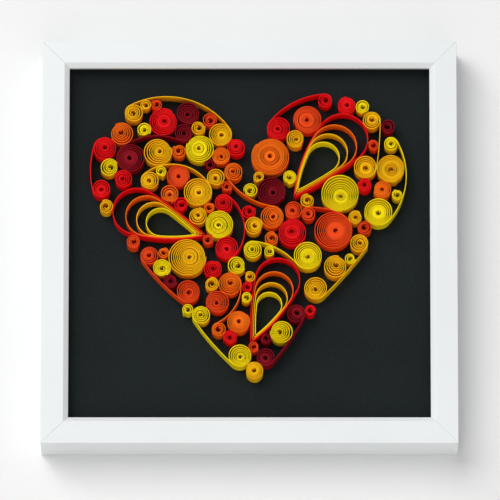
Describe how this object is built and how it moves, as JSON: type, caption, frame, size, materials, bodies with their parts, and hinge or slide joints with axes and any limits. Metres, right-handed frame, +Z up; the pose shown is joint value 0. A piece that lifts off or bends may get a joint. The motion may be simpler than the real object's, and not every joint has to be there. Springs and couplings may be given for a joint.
{
  "type": "quilled paper art",
  "caption": "Heart of quilled paper coils, scrolls and nested drops on black card, in a white mitred box frame with a sawtooth hanger.",
  "frame": {"origin": "middle of the frame's underside, halfway through its depth", "axes": "+Z up, the picture faces -Y, +X to the right of someone who looks at the picture"},
  "size_m": [0.25, 0.03, 0.25],
  "materials": {
    "white_paint": "wood under satin white paint",
    "black_card": "matte charcoal black card",
    "fibreboard": "bare brown fibreboard",
    "plated_steel": "zinc plated",
    "screw_brass": "brass plated, dulled",
    "paper_crimson": "dyed-through matte paper strip",
    "paper_red": "dyed-through matte paper strip",
    "paper_vermilion": "dyed-through matte paper strip",
    "paper_orange": "dyed-through matte paper strip",
    "paper_golden": "dyed-through matte paper strip",
    "paper_lemon": "dyed-through matte paper strip"
  },
  "bodies": {
    "root": {"backing_board": "fibreboard", "corner_nails": "plated_steel", "crimson_coils_foot": "paper_crimson", "crimson_coils_left_lobe": "paper_crimson", "crimson_coils_right_lobe": "paper_crimson", "crimson_scroll_left_lobe": "paper_crimson", "crimson_scroll_right_foot": "paper_crimson", "frame_rail_bottom": "white_paint", "frame_rail_left": "white_paint", "frame_rail_right": "white_paint", "frame_rail_top": "white_paint", "golden_coils_foot": "paper_golden", "golden_coils_left_lobe": "paper_golden", "golden_coils_right_lobe": "paper_golden", "golden_scroll_left_crown": "paper_golden", "golden_scroll_left_lobe": "paper_golden", "golden_scroll_right_flank": "paper_golden", "golden_scroll_right_lobe": "paper_golden", "hanger_screws": "screw_brass", "heart_foot_golden_drop": "paper_golden", "heart_foot_lemon_drop": "paper_lemon", "heart_foot_orange_drop": "paper_orange", "heart_foot_red_drop": "paper_red", "left_lobe_golden_drop": "paper_golden", "left_lobe_lemon_drop": "paper_lemon", "left_lobe_orange_drop": "paper_orange", "left_lobe_red_drop": "paper_red", "lemon_coils_foot": "paper_lemon", "lemon_coils_left_lobe": "paper_lemon", "lemon_coils_right_lobe": "paper_lemon", "lemon_scroll_left_foot": "paper_lemon", "lemon_scroll_middle": "paper_lemon", "lemon_scroll_right_rim": "paper_lemon", "mount_card": "black_card", "orange_coils_foot": "paper_orange", "orange_coils_left_lobe": "paper_orange", "orange_coils_right_lobe": "paper_orange", "orange_scroll_cleft": "paper_orange", "orange_scroll_foot": "paper_orange", "red_coils_foot": "paper_red", "red_coils_left_lobe": "paper_red", "red_coils_right_lobe": "paper_red", "red_scroll_left_rim": "paper_red", "red_scroll_middle": "paper_red", "red_scroll_right_crown": "paper_red", "retaining_points": "plated_steel", "right_lobe_golden_drop": "paper_golden", "right_lobe_lemon_drop": "paper_lemon", "right_lobe_orange_drop": "paper_orange", "right_lobe_red_drop": "paper_red", "sawtooth_hanger": "plated_steel", "vermilion_coils_foot": "paper_vermilion", "vermilion_coils_left_lobe": "paper_vermilion", "vermilion_coils_right_lobe": "paper_vermilion", "vermilion_scroll_left_flank": "paper_vermilion", "vermilion_scroll_right_side": "paper_vermilion"}
  },
  "joints": []
}
